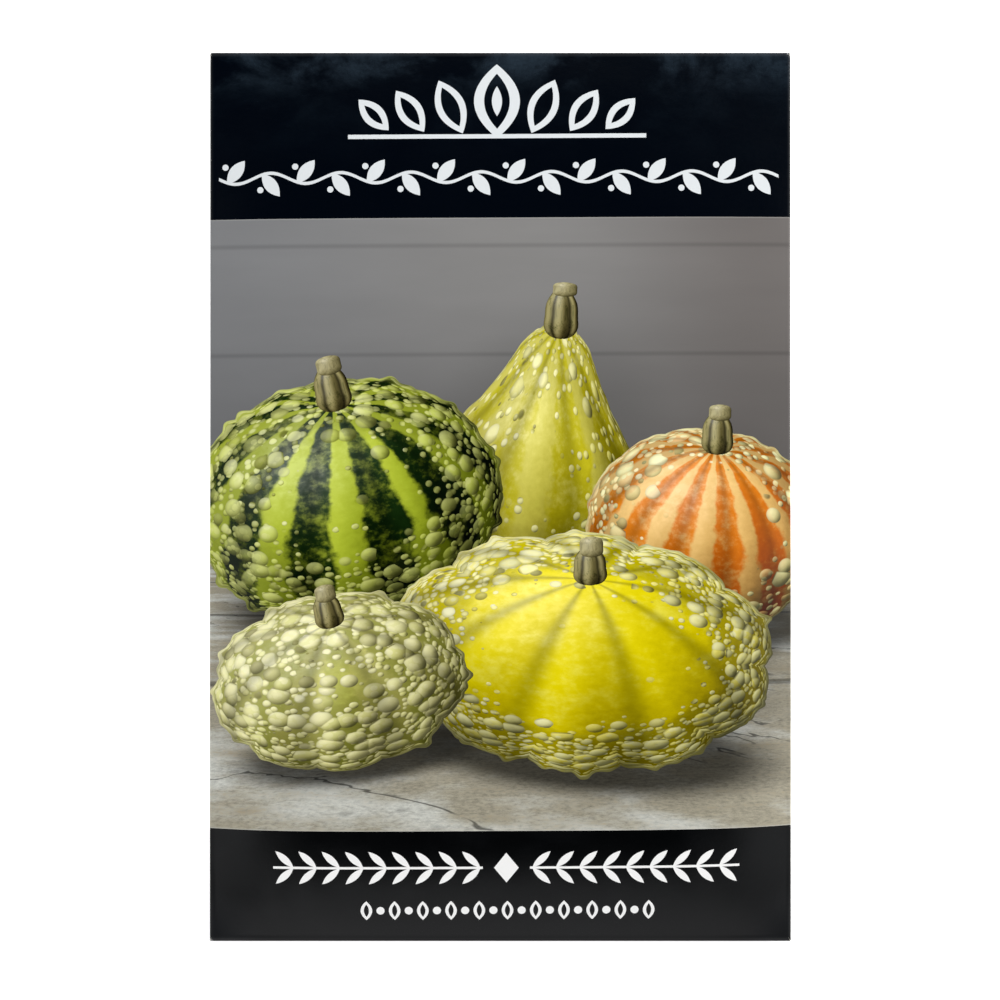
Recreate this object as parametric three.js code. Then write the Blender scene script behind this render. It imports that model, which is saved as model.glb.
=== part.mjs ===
// A sealed seed packet: one sheet of coated paper, printed, folded and glued into a flat pouch,
// with loose squash seeds in its lower half. It lies on its back, as it would on a table.
// Millimetres. +X runs across the front, +Y runs up to the closing flap, +Z points out of the front.
// The origin is at the middle of the packet's footprint, on the surface that it lies on.
import * as THREE from "three";

const { lerp, smoothstep, clamp, degToRad } = THREE.MathUtils;

// Driving dimensions
const PACKET_WIDTH = 83;
const PACKET_HEIGHT = 127;
const PAPER = 0.2;
const GLUE = 0.1;
const GLUE_CLEARANCE = 0.07;
const TOP_FLAP = 16;
const BOTTOM_FLAP = 11;
const SEAM_TAB = 10;
const SEAM_INSET = 1.2;
const FLAP_TAPER = 0.06;
const FLAP_CORNER = { cut: 2.5, from: 0.85 };
const SEAM_GLUE = { width: 6, inset: 1, endGap: 3 };
const FLAP_GLUE = { halfWidth: 34, bottom: [3, 8], top: [4, 12] };

// Heights of the paper's middle surface: the rim is the folded edge all round, the crown the bulge's top.
const RIM = { empty: 1.3, full: 1.8, halfGap: 0.42 };
const CROWN = { empty: 2.7, full: 5.8 };
const SHOULDER_POWER = 4.5;
const FRONT_RISE = { bottom: 17, top: 28, power: 2.2 };
const BACK_RISE = { bottom: 15, top: 29, sideStart: 0.5 };
const SEED_BED_TOP = -16;
const SEED_BED_FADE = 32;

// The seeds lie in two layers, each on a staggered grid wide enough for any seed to turn freely.
// tip is how much a seed narrows from tipFrom to its point, and face is how low its faces lie inside the
// raised margin, all as shares of its half size.
const SEED = { length: 12, width: 7.2, thickness: 2, tip: 0.42, tipFrom: -0.2, face: 0.8 };
const SEED_MARGIN = { inner: 0.5, outer: 0.86 };
const SEED_SIDES = { round: 12, high: 6 };
const EDGE_TOLERANCE = 1e-6;
const SEED_PITCH = 12.8;
const SEED_LAYERS = [
  { height: 1.75, columns: 5, rows: 3, centreY: -28.5 },
  { height: 4.15, columns: 3, rows: 3, centreY: -29.5 },
];
const SEED_SHIFT = 0.3;
const SEED_TILT = degToRad(1.5);
const RANDOM_SEED = 7;
const GENERATOR = { factor: 1664525, step: 1013904223, range: 2 ** 32 };

// Steps along each stretch of the sheet
const PANEL_COLUMNS = 14;
const BODY_ROWS = 20;
const FOLD_STEPS = 4;
const TAB_COLUMNS = 2;
const FLAP_ROWS = 3;
const FOLD_CROWDING = 0.5;
const SEAM_GLUE_STEPS = [2, 24];
const FLAP_GLUE_STEPS = [14, 2];

// Where the stretches meet
const LAYER_STEP = PAPER + GLUE + 2 * GLUE_CLEARANCE;
const TAB_FOLD = RIM.halfGap - LAYER_STEP / 2;
const SIDE_FOLD = RIM.halfGap;
const END_FOLD = RIM.halfGap + LAYER_STEP / 2;
const FRONT_LEFT = -PACKET_WIDTH / 2 + TAB_FOLD + PAPER / 2;
const FRONT_RIGHT = PACKET_WIDTH / 2 - SIDE_FOLD - PAPER / 2;
const BODY_END = PACKET_HEIGHT / 2 - END_FOLD - PAPER / 2;
const REST = PAPER / 2;

const PAPER_COAT = new THREE.MeshStandardMaterial({ color: 0x0a0d14, roughness: 0.35, metalness: 0 });
const GLUE_FILM = new THREE.MeshStandardMaterial({ color: 0xe8e2cf, roughness: 0.5, metalness: 0 });
const SEED_HULL = new THREE.MeshStandardMaterial({ color: 0xe6d9b8, roughness: 0.6, metalness: 0 });

// How full the packet is at a height up its front: 1 over the seeds, 0 in the empty upper half.
function fullness(y) {
  return 1 - smoothstep(y, SEED_BED_TOP, SEED_BED_TOP + SEED_BED_FADE);
}

function rimHeight(y) {
  return lerp(RIM.empty, RIM.full, fullness(y));
}

// Share of the way from the nearer end to where the paper is flat, from 0 to 1.
function endShare(y, lengths) {
  return clamp(Math.min((y + BODY_END) / lengths.bottom, (BODY_END - y) / lengths.top), 0, 1);
}

function sideShare(x) {
  return Math.min(Math.abs(x) / FRONT_RIGHT, 1);
}

// Height of the front panel: a pillow with firm shoulders, highest over the seeds.
function frontHeight(x, y) {
  const rim = rimHeight(y) + RIM.halfGap;
  const crown = lerp(CROWN.empty, CROWN.full, fullness(y));
  const across = 1 - sideShare(x) ** SHOULDER_POWER;
  const along = 1 - (1 - endShare(y, FRONT_RISE)) ** FRONT_RISE.power;
  return rim + (crown - rim) * across * along;
}

// Height of the back panel: flat on the table in the middle, lifting to the folded edges.
function backHeight(x, y) {
  const rim = rimHeight(y) - RIM.halfGap;
  const side = clamp((sideShare(x) - BACK_RISE.sideStart) / (1 - BACK_RISE.sideStart), 0, 1) ** 2;
  const end = 1 - endShare(y, BACK_RISE) ** 2;
  return REST + (rim - REST) * (1 - (1 - side) * (1 - end));
}

const tabHeight = (x, y) => backHeight(x, y) + LAYER_STEP;
const flapHeight = (x, y) => backHeight(x, y) - LAYER_STEP;

// A list of steps along one stretch, each with its share t from 0 to 1. Each starts where the last ends.
function stretch(part, steps) {
  return Array.from({ length: steps }, (_, i) => ({ part, t: (i + 1) / steps }));
}

// Columns run from the seam tab's free edge round the front to the back panel's free edge.
const COLUMNS = [
  { part: "tab", t: 0 },
  ...stretch("tab", TAB_COLUMNS),
  ...stretch("leftFold", FOLD_STEPS),
  ...stretch("front", PANEL_COLUMNS),
  ...stretch("rightFold", FOLD_STEPS),
  ...stretch("back", PANEL_COLUMNS),
];

// Rows run from the bottom flap's free edge up the body to the top flap's free edge.
const ROWS = [
  { part: "bottomFlap", t: 0 },
  ...stretch("bottomFlap", FLAP_ROWS),
  ...stretch("bottomFold", FOLD_STEPS),
  ...stretch("body", BODY_ROWS),
  ...stretch("topFold", FOLD_STEPS),
  ...stretch("topFlap", FLAP_ROWS),
];

const FRONT_START = COLUMNS.findIndex((column) => column.part === "front");
const FRONT_COLUMNS = [FRONT_START, FRONT_START + PANEL_COLUMNS];
const BODY_START = ROWS.findIndex((row) => row.part === "body");
const BODY_SPAN = [BODY_START, BODY_START + BODY_ROWS];

// Panel steps are closer near the folds, where the paper bends most.
function eased(t) {
  return lerp(t, (1 - Math.cos(Math.PI * t)) / 2, FOLD_CROWDING);
}

// A point of the packet's body: the tube of front, back and seam tab.
function bodyPoint(column, y) {
  const along = Math.sin(Math.PI * column.t);
  const up = Math.cos(Math.PI * column.t);
  switch (column.part) {
    case "tab": {
      const x = FRONT_LEFT + SEAM_TAB * (1 - column.t);
      return new THREE.Vector3(x, y, tabHeight(x, y));
    }
    case "leftFold": {
      const middle = tabHeight(FRONT_LEFT, y) + TAB_FOLD;
      return new THREE.Vector3(FRONT_LEFT - TAB_FOLD * along, y, middle - TAB_FOLD * up);
    }
    case "front": {
      const x = lerp(FRONT_LEFT, FRONT_RIGHT, eased(column.t));
      return new THREE.Vector3(x, y, frontHeight(x, y));
    }
    case "rightFold": {
      return new THREE.Vector3(FRONT_RIGHT + SIDE_FOLD * along, y, rimHeight(y) + SIDE_FOLD * up);
    }
    default: {
      const x = lerp(FRONT_RIGHT, -PACKET_WIDTH / 2 + SEAM_INSET, eased(column.t));
      return new THREE.Vector3(x, y, backHeight(x, y));
    }
  }
}

// A point of an end fold or a flap. end is 1 at the top and -1 at the bottom, and along runs from 0 at the
// front panel to 1 at the fold's far side, or from 0 at the fold to 1 at the flap's free edge.
function foldPoint(x, end, along) {
  const middle = rimHeight(end * BODY_END) - LAYER_STEP / 2;
  const turn = Math.PI * along;
  const y = end * (BODY_END + END_FOLD * Math.sin(turn));
  return new THREE.Vector3(x, y, middle + END_FOLD * Math.cos(turn));
}

function flapPoint(x, end, along, length) {
  const side = Math.abs(x) / (PACKET_WIDTH / 2);
  const corner = FLAP_CORNER.cut * along * smoothstep(side, FLAP_CORNER.from, 1);
  const inset = x * (1 - FLAP_TAPER * along);
  const y = end * (BODY_END - length * along + corner);
  return new THREE.Vector3(inset, y, flapHeight(inset, y));
}

function sheetPoint(i, j) {
  const column = COLUMNS[i];
  const row = ROWS[j];
  const x = i < FRONT_START ? FRONT_LEFT : lerp(FRONT_LEFT, FRONT_RIGHT, eased(column.t));
  switch (row.part) {
    case "bottomFlap":
      return flapPoint(x, -1, 1 - row.t, BOTTOM_FLAP);
    case "bottomFold":
      return row.t < 1 ? foldPoint(x, -1, 1 - row.t) : bodyPoint(column, -BODY_END);
    case "body":
      return bodyPoint(column, lerp(-BODY_END, BODY_END, eased(row.t)));
    case "topFold":
      return foldPoint(x, 1, row.t);
    default:
      return flapPoint(x, 1, row.t, TOP_FLAP);
  }
}

// The flat pattern is a cross: the body's full width, with the two flaps on the front panel's ends alone.
function sheetHasCell(i, j) {
  const inBody = j >= BODY_SPAN[0] - 1 && j < BODY_SPAN[1] - 1;
  const inFront = i >= FRONT_COLUMNS[0] - 1 && i < FRONT_COLUMNS[1] - 1;
  return inBody || inFront;
}

// A thin solid of even thickness on a grid of cells. pointAt gives the middle surface, and the side that
// (across x up) points to is the outside.
function thinSolid(columns, rows, hasCell, pointAt, thickness) {
  const corners = new Map();
  const cornerAt = (i, j) => {
    const key = `${i},${j}`;
    if (!corners.has(key)) {
      corners.set(key, { index: corners.size, point: pointAt(i, j), normal: new THREE.Vector3() });
    }
    return corners.get(key);
  };
  const cells = [];
  const edges = new Map();
  for (let i = 0; i < columns; i += 1) {
    for (let j = 0; j < rows; j += 1) {
      if (!hasCell(i, j)) continue;
      const cell = [cornerAt(i, j), cornerAt(i + 1, j), cornerAt(i + 1, j + 1), cornerAt(i, j + 1)];
      const [a, b, c, d] = cell.map((corner) => corner.point);
      const facing = new THREE.Vector3().crossVectors(c.clone().sub(a), d.clone().sub(b)).normalize();
      cells.push(cell);
      cell.forEach((corner, k) => {
        const next = cell[(k + 1) % cell.length];
        corner.normal.add(facing);
        edges.set(`${corner.index}>${next.index}`, [corner.index, next.index]);
      });
    }
  }
  const positions = [];
  for (const side of [1, -1]) {
    for (const { point, normal } of corners.values()) {
      const moved = point.clone().addScaledVector(normal.clone().normalize(), (side * thickness) / 2);
      positions.push(moved.x, moved.y, moved.z);
    }
  }
  const count = corners.size;
  const faces = [];
  for (const cell of cells) {
    const [a, b, c, d] = cell.map((corner) => corner.index);
    faces.push(a, b, c, a, c, d);
    faces.push(a + count, c + count, b + count, a + count, d + count, c + count);
  }
  for (const [a, b] of edges.values()) {
    if (edges.has(`${b}>${a}`)) continue;
    faces.push(a, a + count, b + count, a, b + count, b);
  }
  const geometry = new THREE.BufferGeometry();
  geometry.setAttribute("position", new THREE.Float32BufferAttribute(positions, 3));
  geometry.setIndex(faces);
  geometry.computeVertexNormals();
  return geometry;
}

function named(name, geometry, material) {
  const mesh = new THREE.Mesh(geometry, material);
  mesh.name = name;
  return mesh;
}

function foldedSheet() {
  const geometry = thinSolid(COLUMNS.length - 1, ROWS.length - 1, sheetHasCell, sheetPoint, PAPER);
  return named("packet_sheet", geometry, PAPER_COAT);
}

// A film of glue between two layers of paper, over a rectangle of the back.
function glueFilm(name, xs, ys, layerHeight, steps) {
  const pointAt = (i, j) => {
    const x = lerp(xs[0], xs[1], i / steps[0]);
    const y = lerp(ys[0], ys[1], j / steps[1]);
    return new THREE.Vector3(x, y, layerHeight(x, y));
  };
  return named(name, thinSolid(steps[0], steps[1], () => true, pointAt, GLUE), GLUE_FILM);
}

function glueFilms() {
  const abovePanel = (x, y) => backHeight(x, y) + LAYER_STEP / 2;
  const underPanel = (x, y) => backHeight(x, y) - LAYER_STEP / 2;
  const seamFrom = -PACKET_WIDTH / 2 + SEAM_INSET + SEAM_GLUE.inset;
  const seamXs = [seamFrom, seamFrom + SEAM_GLUE.width];
  const seamYs = [-BODY_END + SEAM_GLUE.endGap, BODY_END - SEAM_GLUE.endGap];
  const flapXs = [-FLAP_GLUE.halfWidth, FLAP_GLUE.halfWidth];
  const bottomYs = FLAP_GLUE.bottom.map((inset) => -BODY_END + inset);
  const topYs = FLAP_GLUE.top.map((inset) => BODY_END - inset).reverse();
  return [
    glueFilm("seam_glue", seamXs, seamYs, abovePanel, SEAM_GLUE_STEPS),
    glueFilm("bottom_flap_glue", flapXs, bottomYs, underPanel, FLAP_GLUE_STEPS),
    glueFilm("top_flap_glue", flapXs, topYs, underPanel, FLAP_GLUE_STEPS),
  ];
}

// A flat seed, round at one end and narrowed to a tip at the other, with a raised margin round each face.
// It is a unit sphere pressed flat, so out is 0 at the middle of a face and 1 at the seed's edge.
function seedGeometry() {
  const geometry = new THREE.SphereGeometry(1, SEED_SIDES.round, SEED_SIDES.high).rotateX(Math.PI / 2);
  const place = geometry.getAttribute("position");
  for (let k = 0; k < place.count; k += 1) {
    const x = place.getX(k);
    const y = place.getY(k);
    const z = place.getZ(k);
    const out = Math.hypot(x, y);
    const onEdge = Math.abs(z) < EDGE_TOLERANCE;
    const face = lerp(SEED.face, 1, smoothstep(out, SEED_MARGIN.inner, SEED_MARGIN.outer));
    const raised = onEdge ? 0 : Math.sign(z) * face;
    const narrowed = 1 - SEED.tip * smoothstep(x, SEED.tipFrom, 1);
    place.setXYZ(k, (x * SEED.length) / 2, (y * narrowed * SEED.width) / 2, (raised * SEED.thickness) / 2);
  }
  geometry.computeVertexNormals();
  return geometry;
}

// A small repeatable random source, from 0 to 1: a linear congruential generator.
function randomSource(seed) {
  let state = seed;
  return () => {
    state = (state * GENERATOR.factor + GENERATOR.step) % GENERATOR.range;
    return state / GENERATOR.range;
  };
}

function seeds() {
  const random = randomSource(RANDOM_SEED);
  const spread = (size) => (random() * 2 - 1) * size;
  const geometry = seedGeometry();
  const rowPitch = (SEED_PITCH * Math.sqrt(3)) / 2;
  const meshes = [];
  for (const layer of SEED_LAYERS) {
    for (let row = 0; row < layer.rows; row += 1) {
      for (let column = 0; column < layer.columns - (row % 2); column += 1) {
        const stagger = (row % 2) / 2;
        const x = (column + stagger - (layer.columns - 1) / 2) * SEED_PITCH;
        const y = layer.centreY + (row - (layer.rows - 1) / 2) * rowPitch;
        const seed = named(`seed_${String(meshes.length + 1).padStart(2, "0")}`, geometry, SEED_HULL);
        seed.position.set(x + spread(SEED_SHIFT), y + spread(SEED_SHIFT), layer.height);
        seed.rotation.set(spread(SEED_TILT), spread(SEED_TILT), random() * 2 * Math.PI);
        meshes.push(seed);
      }
    }
  }
  return meshes;
}

const packet = new THREE.Group();
packet.add(foldedSheet(), ...glueFilms(), ...seeds());

export default packet;
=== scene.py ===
"""A sealed seed packet that lies on its back on a pale table, seen from straight above.

The packet is one sheet of coated paper, printed, folded and glued into a flat pouch with loose squash
seeds in its lower half. The front shows a made-up still life of squashes between two near-black bands
with plain leaf ornaments. Sizes are in millimetres, and Blender's own units are metres.
"""

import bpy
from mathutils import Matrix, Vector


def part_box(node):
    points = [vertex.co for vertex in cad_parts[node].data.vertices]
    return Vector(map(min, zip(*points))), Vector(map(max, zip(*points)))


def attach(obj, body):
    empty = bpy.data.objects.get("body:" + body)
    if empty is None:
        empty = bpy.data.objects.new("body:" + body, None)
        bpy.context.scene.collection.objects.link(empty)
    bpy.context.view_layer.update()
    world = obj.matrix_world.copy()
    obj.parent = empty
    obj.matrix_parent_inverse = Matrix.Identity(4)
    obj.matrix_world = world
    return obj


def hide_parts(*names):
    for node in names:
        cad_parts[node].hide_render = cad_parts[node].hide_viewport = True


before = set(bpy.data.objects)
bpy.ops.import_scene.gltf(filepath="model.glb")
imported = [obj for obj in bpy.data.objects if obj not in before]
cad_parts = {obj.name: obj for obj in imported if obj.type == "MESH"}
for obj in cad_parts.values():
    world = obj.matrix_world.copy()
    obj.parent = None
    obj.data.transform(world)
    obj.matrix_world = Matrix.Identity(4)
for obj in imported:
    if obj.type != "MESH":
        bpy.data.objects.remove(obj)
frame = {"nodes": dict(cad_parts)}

import ast
import logging
import math
from dataclasses import dataclass
from enum import Enum
from typing import Any

import bpy
import numpy as np
from mathutils import Matrix, Vector

LOG = logging.getLogger("seed_packet")
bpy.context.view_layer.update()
MM = 0.001
BODY = "root"
# Maps: places on the flat sheet in millimetres, how far out a place on a seed is, and the one to bake through
SHEET_MAP = "sheet_mm"
SEED_MAP = "seed_out"
BAKE_MAP = "OFBake"
# Random values each way before soft_noise repeats them
NOISE_GRID = 256
# What sRGB's curve is made of: where its straight start ends, and how steep and how bent it is
SRGB_START, SRGB_SLOPE, SRGB_OFFSET, SRGB_POWER = 0.04045, 12.92, 0.055, 2.4

Socket = bpy.types.NodeSocket
Value = Socket | float | tuple
Colour = tuple[float, float, float, float]


def srgb(code: str) -> Colour:
    """Turns an sRGB hex colour into the linear colour that a shader takes.

    Args:
        code: six hex digits, such as "e8d800".

    Returns:
        Red, green, blue and alpha, from 0 to 1.
    """
    shares = [int(code[k : k + 2], 16) / 255 for k in (0, 2, 4)]
    curve = [((share + SRGB_OFFSET) / (1 + SRGB_OFFSET)) ** SRGB_POWER for share in shares]
    linear = [s / SRGB_SLOPE if s <= SRGB_START else bent for s, bent in zip(shares, curve)]
    return (*linear, 1.0)


def add_node(
    tree: bpy.types.NodeTree,
    kind: str,
    settings: dict[str, Any] | None = None,
    inputs: dict[str | int, Any] | None = None,
    output: str | int | None = 0,
) -> Socket | None:
    """Adds a node with its settings and links, and gives the output that is used.

    Args:
        tree: the node tree.
        kind: the node's Blender type.
        settings: the node's own properties.
        inputs: a socket to link, or a constant, for each input by name or index.
        output: name or index of the output to give back, or None for a node that has none.

    Returns:
        That output socket.
    """
    node = tree.nodes.new(kind)
    for name, value in (settings or {}).items():
        setattr(node, name, value)
    for key, value in (inputs or {}).items():
        if isinstance(value, Socket):
            tree.links.new(value, node.inputs[key])
        else:
            node.inputs[key].default_value = value
    return None if output is None else node.outputs[output]


class Formula:
    """Turns formulas written as text into shader nodes, and keeps their answers under names.

    A formula may use + - * / ** and the functions below. ramp(low, high, x) goes smoothly from 0 to 1 as x
    goes from low to high, or from 1 to 0 where low is the higher. mix(share, below, above) lays one colour
    over another, and pick does so with points. cells gives the distance to the nearest of many scattered
    points, chance three random numbers that belong to that point, and middle the point itself. A colour may
    be given as its hex code in quotes.
    """

    OPERATORS = {
        ast.Add: "ADD",
        ast.Sub: "SUBTRACT",
        ast.Mult: "MULTIPLY",
        ast.Div: "DIVIDE",
        ast.Pow: "POWER",
    }
    FUNCTIONS = {
        "sin": "SINE",
        "cos": "COSINE",
        "atan2": "ARCTAN2",
        "sqrt": "SQRT",
        "abs": "ABSOLUTE",
        "floor": "FLOOR",
        "fract": "FRACT",
        "fold": "PINGPONG",
        "min": "MINIMUM",
        "max": "MAXIMUM",
        "above": "GREATER_THAN",
        "below": "LESS_THAN",
    }
    # Functions beyond arithmetic: the node's kind, its settings, its inputs in order, and its output
    TOOLS = {
        "ramp": ("MapRange", {"interpolation_type": "SMOOTHSTEP"}, ("From Min", "From Max", "Value"), 0),
        "mix": ("Mix", {"data_type": "RGBA"}, (0, 6, 7), 2),
        "pick": ("Mix", {"data_type": "VECTOR"}, (0, 4, 5), 1),
        "point": ("CombineXYZ", {}, ("X", "Y", "Z"), 0),
        "x_of": ("SeparateXYZ", {}, (0,), 0),
        "y_of": ("SeparateXYZ", {}, (0,), 1),
        "z_of": ("SeparateXYZ", {}, (0,), 2),
        "scaled": ("VectorMath", {"operation": "SCALE"}, (0, "Scale"), 0),
        "plus": ("VectorMath", {"operation": "ADD"}, (0, 1), 0),
        "gamma": ("Gamma", {}, ("Color", "Gamma"), 0),
        "noise": ("TexNoise", {}, ("Vector", "Scale", "Detail", "Roughness", "Distortion"), 0),
        "cells": ("TexVoronoi", {}, ("Vector", "Scale", "Randomness"), 0),
        "chance": ("TexVoronoi", {}, ("Vector", "Scale", "Randomness"), 1),
        "middle": ("TexVoronoi", {}, ("Vector", "Scale", "Randomness"), 2),
        "bump": ("Bump", {}, ("Strength", "Distance", "Height"), 0),
    }

    def __init__(self, tree: bpy.types.NodeTree, **names: Value) -> None:
        """Keeps the tree that the nodes go into, and the values that every formula may name."""
        self.tree = tree
        self.names = names

    def __call__(self, text: str, **names: Value) -> Value:
        """Adds the nodes for one formula.

        Args:
            text: the formula, such as "ramp(0.9, 1, r) * shade".
            names: values for names that only this formula uses.

        Returns:
            The socket that holds the answer, or a number where that is all the formula is.
        """
        return self._part(ast.parse(text).body[0].value, {**self.names, **names})

    def let(self, **lines: str) -> None:
        """Works out formulas in order, and keeps each answer under its name for those that follow."""
        for name, text in lines.items():
            self.names[name] = self(text)

    def _part(self, part: ast.expr, names: dict[str, Value]) -> Value:
        """Works out one part of a formula.

        Args:
            part: the part, as Python's own parser gives it.
            names: what its names stand for.

        Returns:
            A socket, a number or a colour.
        """
        if isinstance(part, ast.Constant):
            return srgb(part.value) if isinstance(part.value, str) else float(part.value)
        if isinstance(part, ast.Name):
            return names[part.id]
        if isinstance(part, ast.UnaryOp):
            return self._operate("MULTIPLY", [self._part(part.operand, names), -1.0])
        if isinstance(part, ast.BinOp):
            sides = [self._part(side, names) for side in (part.left, part.right)]
            return self._operate(self.OPERATORS[type(part.op)], sides)
        values = [self._part(argument, names) for argument in part.args]
        if part.func.id in self.FUNCTIONS:
            return self._operate(self.FUNCTIONS[part.func.id], values)
        kind, settings, inputs, output = self.TOOLS[part.func.id]
        return add_node(self.tree, f"ShaderNode{kind}", settings, dict(zip(inputs, values)), output)

    def _operate(self, operation: str, numbers: list[Value]) -> Socket:
        """Adds one Math node, and gives its answer."""
        return add_node(self.tree, "ShaderNodeMath", {"operation": operation}, dict(enumerate(numbers)))


def smooth(low: float, high: float, place: np.ndarray) -> np.ndarray:
    """Goes smoothly from 0 to 1 as place goes from low to high."""
    share = np.clip((place - low) / (high - low), 0, 1)
    return share * share * (3 - 2 * share)


def soft_noise(x: np.ndarray, y: np.ndarray, cell: float, seed: int) -> np.ndarray:
    """Gives smooth random heights, with one random value a cell apart each way.

    Args:
        x: places across, in millimetres.
        y: places up, in millimetres.
        cell: distance between random values, in millimetres.
        seed: picks the random values.

    Returns:
        Heights from -1 to 1.
    """
    values = np.random.default_rng(seed).uniform(-1, 1, (NOISE_GRID, NOISE_GRID))
    left, low = np.floor(x / cell).astype(int), np.floor(y / cell).astype(int)
    across, up = smooth(0, 1, x / cell - left), smooth(0, 1, y / cell - low)
    left, low = left % NOISE_GRID, low % NOISE_GRID
    right, high = (left + 1) % NOISE_GRID, (low + 1) % NOISE_GRID
    bottom = values[left, low] * (1 - across) + values[right, low] * across
    top = values[left, high] * (1 - across) + values[right, high] * across
    return bottom * (1 - up) + top * up


@dataclass(frozen=True)
class PacketForm:
    """Sizes of the folded packet in millimetres, and the height of its paper at any place.

    A rise is how far from its end a panel is still curved. Powers, shares and the taper have no unit.
    """

    width: float
    height: float
    crown_full: float
    crown_empty: float = 2.7
    paper: float = 0.2
    layer_step: float = 0.44
    half_gap: float = 0.42
    rim_empty: float = 1.3
    rim_full: float = 1.8
    shoulder_power: float = 4.5
    front_rise_bottom: float = 17
    front_rise_top: float = 28
    front_rise_power: float = 2.2
    back_rise_bottom: float = 15
    back_rise_top: float = 29
    back_flat_share: float = 0.5
    seed_bed_top: float = -16
    seed_bed_fade: float = 32
    top_flap: float = 16
    bottom_flap: float = 11
    seam_tab: float = 10
    seam_inset: float = 1.2
    flap_taper: float = 0.06
    flap_corner: float = 2.5
    flap_corner_from: float = 0.85

    @classmethod
    def from_frame(cls) -> "PacketForm":
        """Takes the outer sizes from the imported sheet, so that the looks fit the model.

        Returns:
            The packet's sizes.
        """
        low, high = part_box("packet_sheet")
        size = (high - low) / MM
        return cls(width=size.x, height=size.y, crown_full=high.z / MM - cls.paper / 2)

    @property
    def tab_fold(self) -> float:
        """Radius of the fold between the front and the seam tab."""
        return self.half_gap - self.layer_step / 2

    @property
    def end_fold(self) -> float:
        """Radius of the fold between the front and each flap."""
        return self.half_gap + self.layer_step / 2

    @property
    def front_left(self) -> float:
        """Where the front panel meets its left fold."""
        return -self.width / 2 + self.tab_fold + self.paper / 2

    @property
    def front_right(self) -> float:
        """Where the front panel meets its right fold."""
        return self.width / 2 - self.half_gap - self.paper / 2

    @property
    def body_end(self) -> float:
        """Where the panels meet the end folds, above and below the middle."""
        return self.height / 2 - self.end_fold - self.paper / 2

    def fullness(self, y: np.ndarray) -> np.ndarray:
        """How full the packet is: 1 over the seeds, 0 in the empty upper half."""
        return 1 - smooth(self.seed_bed_top, self.seed_bed_top + self.seed_bed_fade, y)

    def rim(self, y: np.ndarray) -> np.ndarray:
        """Height of the middle of the folded edge."""
        return self.rim_empty + (self.rim_full - self.rim_empty) * self.fullness(y)

    def end_share(self, y: np.ndarray, bottom: float, top: float) -> np.ndarray:
        """Share of the way from the nearer end to where the paper is flat, from 0 to 1."""
        return np.clip(np.minimum((y + self.body_end) / bottom, (self.body_end - y) / top), 0, 1)

    def side_share(self, x: np.ndarray) -> np.ndarray:
        """Share of the way from the middle to the side fold."""
        return np.minimum(np.abs(x) / self.front_right, 1)

    def front(self, x: np.ndarray, y: np.ndarray) -> np.ndarray:
        """Gives the height of the front panel: a pillow with firm shoulders, highest over the seeds.

        Args:
            x: places across the front.
            y: places up the front.

        Returns:
            Heights of the middle of the paper, in millimetres.
        """
        rim = self.rim(y) + self.half_gap
        crown = self.crown_empty + (self.crown_full - self.crown_empty) * self.fullness(y)
        across = 1 - self.side_share(x) ** self.shoulder_power
        share = self.end_share(y, self.front_rise_bottom, self.front_rise_top)
        return rim + (crown - rim) * across * (1 - (1 - share) ** self.front_rise_power)

    def back(self, x: np.ndarray, y: np.ndarray) -> np.ndarray:
        """Gives the height of the back panel: flat on the table in the middle, lifting to the folds.

        Args:
            x: places across the back.
            y: places up the back.

        Returns:
            Heights of the middle of the paper, in millimetres.
        """
        rest = self.paper / 2
        start = self.back_flat_share
        side = np.clip((self.side_share(x) - start) / (1 - start), 0, 1) ** 2
        end = 1 - self.end_share(y, self.back_rise_bottom, self.back_rise_top) ** 2
        return rest + (self.rim(y) - self.half_gap - rest) * (1 - (1 - side) * (1 - end))


@dataclass(frozen=True)
class Cockle:
    """The slight waves of paper that was folded, filled and handled, in millimetres.

    dent_squeeze and ripple_slant are shares, pucker_wander is in radians, and each seed picks one pattern.
    """

    dent: float = 0.07
    dent_size: float = 13
    dent_squeeze: float = 0.7
    dent_seed: int = 11
    ripple: float = 0.025
    ripple_size: float = 5
    ripple_slant: float = 0.3
    ripple_seed: int = 12
    pucker: float = 0.06
    pucker_pitch: float = 6.5
    pucker_reach: float = 15
    pucker_from_side: tuple[float, float] = (4, 14)
    pucker_wander: float = 2
    pucker_wander_size: float = 9
    pucker_seed: int = 13
    edge_fade: float = 7

    def height(self, form: PacketForm, x: np.ndarray, y: np.ndarray) -> np.ndarray:
        """How far the front stands off its even form.

        Args:
            form: the packet's sizes.
            x: places across the front.
            y: places up the front.

        Returns:
            Heights in millimetres, fading to nothing at every fold.
        """
        from_side = form.front_right - np.abs(x)
        from_end = form.body_end - np.abs(y)
        fade = smooth(0, self.edge_fade, from_side) * smooth(0, self.edge_fade, from_end)
        dents = self.dent * soft_noise(x, y * self.dent_squeeze, self.dent_size, self.dent_seed)
        ripples = self.ripple * soft_noise(x + y * self.ripple_slant, y, self.ripple_size, self.ripple_seed)
        from_bottom = y + form.body_end
        near_end = smooth(self.pucker_reach, 0, from_bottom) * smooth(0, self.pucker_reach / 4, from_bottom)
        wander = soft_noise(x, y, self.pucker_wander_size, self.pucker_seed) * self.pucker_wander
        waves = np.sin(x / self.pucker_pitch * 2 * np.pi + wander)
        off_side = smooth(*self.pucker_from_side, from_side)
        return (dents + ripples) * fade + self.pucker * waves * near_end * off_side * fade


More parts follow.
